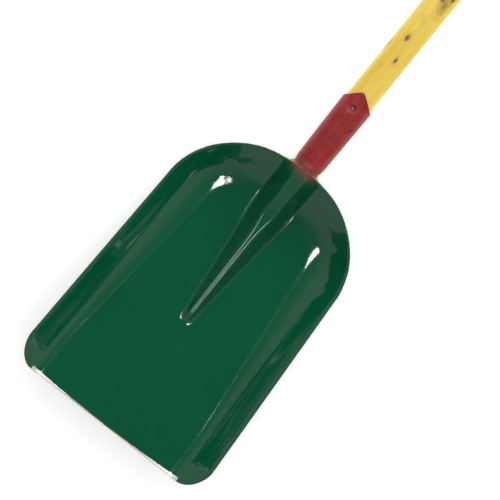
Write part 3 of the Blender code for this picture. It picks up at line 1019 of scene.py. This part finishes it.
def rim_shade_and_chips(paint, colour):
    """Painted shade as a thin dark line along the rim, standing in for the shaded edge of the sheet, with a
    few chips.
    """
    rim = paint.attribute("rim")
    chip_noise = paint.noise(170.0, 4.0, 0.6)
    chipped = paint.times(paint.ease(rim, 0.0016, 0.0004), paint.ease(chip_noise, 0.54, 0.62))
    # Painted shade: the dark line along the rim stands in for the sheet edge's shading
    colour = paint.blend(paint.times(paint.ease(rim, 0.0014, 0.0002), 0.55), colour, RIM_SHADOW)
    return paint.blend(paint.times(chipped, 0.6), colour, RIM_CHIP)


def ground_strip(paint):
    """Where the cutting edge is ground bare."""
    square = paint.math("POWER", paint.times(paint.x, 1 / EDGE_HALF), 2.0)
    depth = paint.add(paint.times(square, GRIND_CORNER), GRIND_MIDDLE)
    ragged = paint.times(paint.add(paint.noise(240.0, 4.0, 0.6), -0.5), GRIND_RAGGED)
    inside = paint.math("LESS_THAN", paint.y, paint.add(depth, ragged))
    side = paint.math("LESS_THAN", paint.math("ABSOLUTE", paint.x), GRIND_HALF)
    facing = paint.math("GREATER_THAN", paint.facing(scoop_direction(0, 0, 1)), -0.25)
    return paint.times(paint.times(inside, side), facing)


def ground_steel(paint):
    """Brushed bare steel, with rust on its outer line."""
    brush = paint.noise(1.0, 4.0, 0.6, vector=paint.stretch((900.0, 60.0, 300.0)))
    rust_reach = paint.add(paint.y, paint.times(paint.noise(300.0, 3.0), 0.0012))
    rust = paint.ease(rust_reach, 0.0016, 0.0007)
    return paint.blend(paint.times(rust, 0.85), paint.ramp(brush, *STEELS), RUST)


def scoop_material():
    paint = Paint("green_enamel", SCOOP_FRAME)
    mottle = paint.noise(11.0, 4.0)
    grain = paint.noise(95.0, 5.0, 0.6)
    tone = paint.add(paint.times(mottle, 0.75), paint.times(grain, 0.25))
    blotch = paint.noise(55.0, 4.0, 0.65, distortion=0.6)
    cover, edge_band = spray_fade(paint)
    colour = paint.blend(cover, paint.ramp(tone, *GREENS), paint.ramp(blotch, *REDS))

    dirt = paint.ease(paint.noise(26.0, 6.0, 0.7), 0.56, 0.74)
    colour = paint.blend(paint.times(dirt, 0.22), colour, GREEN_DIRT)
    scratch = scratches(paint)
    colour = paint.blend(paint.times(scratch, 0.30), colour, GREEN_SCRATCH)
    colour = socket_painted_light(paint, colour)
    colour = rim_shade_and_chips(paint, colour)
    bare = ground_strip(paint)
    colour = paint.blend(bare, colour, ground_steel(paint))

    green_gloss = paint.add(paint.times(grain, 0.04), 0.055)
    green_gloss = paint.add(green_gloss, paint.times(scratch, 0.25))
    red_gloss = paint.add(paint.times(blotch, 0.22), 0.26)
    gloss = paint.add(green_gloss, paint.times(cover, paint.math("SUBTRACT", red_gloss, green_gloss)))
    gloss = paint.add(gloss, paint.times(edge_band, 0.12))
    gloss = paint.add(gloss, paint.times(bare, 0.34))

    peel = paint.noise(230.0, 2.0, 0.4)
    pits = paint.noise(900.0, 3.0, 0.6)
    pit_height = paint.add(paint.times(cover, COAT_PITS), paint.times(bare, STEEL_SCORES))
    normal_out = paint.bump(peel, PEEL_HEIGHT)
    normal_out = paint.bump(paint.times(pits, pit_height), 1.0, normal_out)
    sheen = paint.add(paint.times(cover, -0.24), 0.5)
    paint.set(Base_Color=colour, Roughness=gloss, Normal=normal_out, Metallic=paint.times(bare, 0.35),
              Specular_IOR_Level=sheen)
    return paint.material


WOODS = ((0.30, (0.80, 0.53, 0.052)), (0.50, (0.90, 0.65, 0.082)), (0.72, (0.93, 0.73, 0.17)))
WOOD_RING = (0.58, 0.34, 0.045)
WOOD_FIBRE = (0.55, 0.31, 0.035)
WOOD_VEIN = (0.46, 0.25, 0.030)
WOOD_GREENISH = (0.60, 0.47, 0.075)
WOOD_ORANGE = (0.92, 0.58, 0.115)
WOOD_DULL = (0.42, 0.28, 0.060)
KNOT_CURL = (0.43, 0.26, 0.040)
KNOT_HEART = (0.12, 0.050, 0.006)
SAWN_DARK = (0.52, 0.36, 0.13)
SAWN_PALE = (0.68, 0.52, 0.24)
WOOD_GRIME = (0.33, 0.25, 0.12)
TREE_HEART = (0.045, 0.020, 0.2)
TREE_TAPER = (1.0, 1.0, 0.018)
RING_PITCH = 2400.0
END_RING_PITCH = 3600.0
END_FACE_DEPTH = 0.0006
SMALL_KNOT = 0.004


def add_knots(paint, colour):
    """Dark hearts with curled grain round them."""
    for degrees, centre, half_width, half_length in KNOTS:
        turn = math.radians(degrees)
        heart_dark = 0.95 if half_width < SMALL_KNOT else 0.45
        heart = (HANDLE_RADIUS * math.sin(turn), -HANDLE_RADIUS * math.cos(turn), centre)
        reach = paint.away(heart, (1.0, 1.0, half_width / half_length))
        reach = paint.times(reach, 1 / half_width)
        ragged = paint.noise(260.0, 3.0, distortion=0.8)
        reach = paint.add(reach, paint.times(paint.add(ragged, -0.5), 1.1))
        swirl = paint.ease(paint.math("SINE", paint.times(reach, 9.0)), -0.2, 0.9)
        halo = paint.times(paint.ease(reach, 2.0, 0.8), paint.add(paint.times(swirl, 0.45), 0.20))
        colour = paint.blend(halo, colour, KNOT_CURL)
        colour = paint.blend(paint.ease(reach, 0.90, 0.45, 0.0, heart_dark), colour, KNOT_HEART)
    return colour


def pole_material():
    paint = Paint("varnished_wood", SCOOP_FRAME @ POLE_FRAME)
    shade_wide = paint.noise(1.0, 3.0, vector=paint.stretch((42.0, 42.0, 7.0)))
    fibre = paint.noise(1.0, 5.0, 0.6, vector=paint.stretch((620.0, 620.0, 16.0)))
    vein = paint.noise(1.0, 3.0, 0.5, vector=paint.stretch((230.0, 230.0, 4.5)), distortion=0.4)

    # Growth rings: shells about a heart well outside the pole, so they cross it in long bands
    warp = paint.times(paint.noise(1.0, 3.0, vector=paint.stretch((30.0, 30.0, 5.0))), 0.010)
    shells = paint.away(TREE_HEART, TREE_TAPER)
    bands = paint.math("SINE", paint.times(paint.add(shells, warp), RING_PITCH))
    colour = paint.ramp(shade_wide, *WOODS)
    colour = paint.blend(paint.ease(bands, 0.1, 1.0, 0.0, 0.10), colour, WOOD_RING)
    colour = paint.blend(paint.ease(fibre, 0.50, 0.78, 0.0, 0.24), colour, WOOD_FIBRE)
    colour = paint.blend(paint.ease(vein, 0.60, 0.72, 0.0, 0.18), colour, WOOD_VEIN)

    # Blotches where the varnish took unevenly, some greenish and some orange
    cloud = paint.noise(1.0, 4.0, 0.6, vector=paint.stretch((130.0, 130.0, 62.0)))
    colour = paint.blend(paint.ease(cloud, 0.54, 0.70, 0.0, 0.42), colour, WOOD_GREENISH)
    colour = paint.blend(paint.ease(cloud, 0.46, 0.32, 0.0, 0.50), colour, WOOD_ORANGE)

    # A soft dull band down the front, then the knots
    front_line = paint.away((0.001, -HANDLE_RADIUS, 0.24), (1.0, 1.0, 0.055))
    smear = paint.times(paint.ease(front_line, 0.0095, 0.0020), paint.ease(shade_wide, 0.62, 0.40))
    colour = add_knots(paint, paint.blend(paint.times(smear, 0.14), colour, WOOD_DULL))

    # Sawn end grain
    end = paint.math("GREATER_THAN", paint.z, HANDLE_END_AXIAL - END_FACE_DEPTH)
    end_rings = paint.ease(paint.math("SINE", paint.times(shells, END_RING_PITCH)), -0.4, 0.8)
    colour = paint.blend(end, colour, paint.blend(end_rings, SAWN_DARK, SAWN_PALE))

    # Grubby hand marks
    grime = paint.ease(paint.noise(22.0, 5.0, 0.65), 0.60, 0.80, 0.0, 0.22)
    colour = paint.blend(grime, colour, WOOD_GRIME)

    gloss = paint.add(paint.times(shade_wide, 0.18), 0.30)
    gloss = paint.add(gloss, paint.times(end, 0.35))
    gloss = paint.add(gloss, paint.times(grime, 0.5))
    normal_out = paint.bump(fibre, 0.00012)
    normal_out = paint.bump(vein, 0.00025, normal_out)
    paint.set(Base_Color=colour, Roughness=gloss, Normal=normal_out)
    return paint.material


NAIL_REDS = ((0.3, (0.09, 0.010, 0.010)), (0.7, (0.20, 0.022, 0.020)))
# Pale worn top, partly real wear and partly a painted highlight
NAIL_WORN_AND_HIGHLIGHT = (0.42, 0.13, 0.11)
# Painted shade at the head's edge
NAIL_EDGE_SHADE = (0.045, 0.008, 0.007)


def nail_material(name, own_frame):
    """Overpainted nail head: dark red skin, painted shade at its edge, and a pale worn top with bare steel
    showing that also serves as a painted highlight.
    """
    paint = Paint(name, own_frame)
    grain = paint.noise(900.0, 4.0, 0.6)
    reach = paint.away((0.0, 0.0, NAIL_HEAD_HEIGHT), (1.0, 1.0, 0.4))
    reach = paint.add(reach, paint.times(paint.add(paint.noise(700.0, 3.0), -0.5), 0.0012))
    # Worn top with bare steel, which also serves as a painted highlight on the dome
    worn_and_highlight = paint.ease(reach, 0.0016, 0.0006, 0.0, 0.8)
    colour = paint.blend(worn_and_highlight, paint.ramp(grain, *NAIL_REDS), NAIL_WORN_AND_HIGHLIGHT)
    # Painted shade round the head's edge, where it sits in the dimple
    rim = paint.ease(reach, 0.0018, 0.0028)
    colour = paint.blend(paint.times(rim, 0.80), colour, NAIL_EDGE_SHADE)
    gloss = paint.add(paint.times(grain, 0.25), 0.28)
    paint.set(Base_Color=colour, Roughness=gloss, Normal=paint.bump(grain, 0.00006),
              Metallic=paint.times(worn_and_highlight, 0.2))
    return paint.material


# ---- Stage, lights and camera ----

CAMERA_DISTANCE = 6.0
CAMERA_FIELD = math.radians(5.87)
CAMERA_ROLL = math.radians(38.0)
CAMERA_YAW = math.radians(2.6)
CAMERA_AIM = Vector((0.010, 0.2805, 0.0))
CAMERA_REACH = 100.0
# Surround: degrees from the floor's normal and radiance
WORLD_STOPS = ((0, 0.06), (8, 0.06), (10, 0.14), (24, 0.16), (40, 0.29), (56, 0.58), (84, 0.63), (110, 0.50))
DIFFUSE_SHARE = 0.60
# Soft lamps: name, tilt along the scoop in degrees, distance, width, length and power
SOFT_LAMPS = (
    ("low_key", 60, 3.2, 2.2, 0.9, 66.0),
    ("top_fill", 4, 4.0, 2.6, 2.6, 104.0),
)
# Strips seen only as highlights: name, first and last direction in degrees across and along the scoop
STRIPS = (
    ("strip_left", (-14.6, -6.7), (-31, -29)),
    ("strip_right", (12.3, -6.7), (28, -29)),
)
LAMP_AIM = Vector((0, 0.25, 0))
STRIP_RADIANCE = 30.0
STRIP_DISTANCE = 24.0
STRIP_HALF_WIDTH = math.radians(2.9)
FLOOR_HALF = 6.0
FLOOR_DROP = 0.0006
FLOOR_WHITES = ((0.3, (0.95, 0.95, 0.95)), (0.7, (0.97, 0.97, 0.97)))
WHITE = (1.0, 1.0, 1.0)


def make_camera():
    data = bpy.data.cameras.new("camera")
    data.sensor_width = 36.0
    data.lens = data.sensor_width / 2 / math.tan(CAMERA_FIELD / 2)
    data.clip_end = CAMERA_REACH
    camera = bpy.data.objects.new("camera", data)
    bpy.context.scene.collection.objects.link(camera)
    back = scoop_direction(-math.sin(CAMERA_YAW), 0, math.cos(CAMERA_YAW))
    top = scoop_direction(-math.sin(CAMERA_ROLL), math.cos(CAMERA_ROLL), 0)
    right = top.cross(back).normalized()
    top = back.cross(right)
    camera.matrix_world = pose_matrix(right, top, back, SCOOP_FRAME @ CAMERA_AIM + back * CAMERA_DISTANCE)
    bpy.context.scene.camera = camera


def area_lamp(name, width, length, power):
    data = bpy.data.lights.new(name, "AREA")
    data.shape = "RECTANGLE"
    data.size = width
    data.size_y = length
    data.energy = power
    lamp = bpy.data.objects.new(name, data)
    bpy.context.scene.collection.objects.link(lamp)
    lamp.visible_camera = False
    return lamp


def tilted(tilt_x, tilt_y):
    """Direction in the scoop's frame, tilted off its floor's normal by degrees across and along."""
    return Vector((math.tan(math.radians(tilt_x)), math.tan(math.radians(tilt_y)), 1)).normalized()


def make_strip(name, start, end):
    """A long lamp seen only as a highlight in the enamel, between two directions in degrees."""
    first = SCOOP_FRAME @ (LAMP_AIM + tilted(*start) * STRIP_DISTANCE)
    last = SCOOP_FRAME @ (LAMP_AIM + tilted(*end) * STRIP_DISTANCE)
    middle = (first + last) / 2
    width = 2 * STRIP_DISTANCE * math.tan(STRIP_HALF_WIDTH)
    length = (last - first).length
    lamp = area_lamp(name, width, length, STRIP_RADIANCE * math.pi * width * length)
    toward = (middle - SCOOP_FRAME @ LAMP_AIM).normalized()
    across = (last - first).cross(toward).normalized()
    lamp.matrix_world = pose_matrix(across, toward.cross(across), toward, middle)
    lamp.visible_diffuse = False


def make_soft_lamp(name, tilt, distance, width, length, power):
    """A rectangular lamp aimed at the scoop that lights it without showing in the enamel."""
    lamp = area_lamp(name, width, length, power)
    toward = scoop_direction(*tilted(0, tilt))
    across = scoop_direction(1, 0, 0)
    place = SCOOP_FRAME @ LAMP_AIM + toward * distance
    lamp.matrix_world = pose_matrix(across, toward.cross(across), toward, place)
    lamp.visible_glossy = False


def make_world():
    """Studio surround, darkest square above the scoop and pale towards the sides."""
    world = bpy.data.worlds.new("studio")
    bpy.context.scene.world = world
    world.use_nodes = True
    net = Nodes(world.node_tree)
    net.tree.nodes.clear()
    seen = net.node("TexCoord").outputs["Generated"]
    angle = net.math("ARCCOSINE", net.dot(seen, scoop_direction(0, 0, 1)))
    stops = [(degrees / 180, (radiance,) * 3) for degrees, radiance in WORLD_STOPS]
    surround = net.node("Background")
    net.wire(net.ramp(net.math("DIVIDE", angle, math.pi), *stops), surround.inputs["Color"])
    path = net.node("LightPath").outputs
    dimming = net.add(net.times(path["Is Diffuse Ray"], DIFFUSE_SHARE - 1), 1.0)
    net.wire(dimming, surround.inputs["Strength"])
    backdrop = net.node("Background")
    net.wire(WHITE, backdrop.inputs["Color"])
    pick = net.node("MixShader")
    for value, socket in zip((path["Is Camera Ray"], surround.outputs[0], backdrop.outputs[0]), pick.inputs):
        net.wire(value, socket)
    net.wire(pick.outputs[0], net.node("OutputWorld").inputs[0])


def make_floor():
    build = bmesh.new()
    corners = []
    for x, y in ((-1, -1), (1, -1), (1, 1), (-1, 1)):
        corners.append(build.verts.new((x * FLOOR_HALF, y * FLOOR_HALF, -FLOOR_DROP)))
    build.faces.new(corners)
    floor = to_piece("studio_floor", to_mesh("studio_floor", build), Matrix.Identity(4))
    paint = Paint("studio_paper")
    paint.set(Base_Color=paint.ramp(paint.noise(3.0, 2.0), *FLOOR_WHITES), Roughness=0.9,
              Emission_Color=WHITE, Emission_Strength=0.42)
    floor.data.materials.append(paint.material)


def finish_piece(item, material, node):
    """Give a piece its material, then let it ride on the rigid body in place of its CAD node."""
    item.data.materials.clear()
    item.data.materials.append(material)
    settle(item)
    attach(item, "root")
    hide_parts(node)


def main():
    make_camera()
    make_world()
    make_floor()
    for lamp in SOFT_LAMPS:
        make_soft_lamp(*lamp)
    for strip in STRIPS:
        make_strip(*strip)
    bpy.context.scene.view_settings.view_transform = "Standard"

    finish_piece(make_scoop(), scoop_material(), "scoop_blade")
    finish_piece(make_pole(), pole_material(), "handle")
    for place, (name, axial, turn) in enumerate(NAILS):
        nail = make_nail(name, axial, turn, place * NAIL_SEED_STEP)
        material = nail_material(name + "_paint", nail.matrix_world.copy())
        finish_piece(nail, material, name)


main()
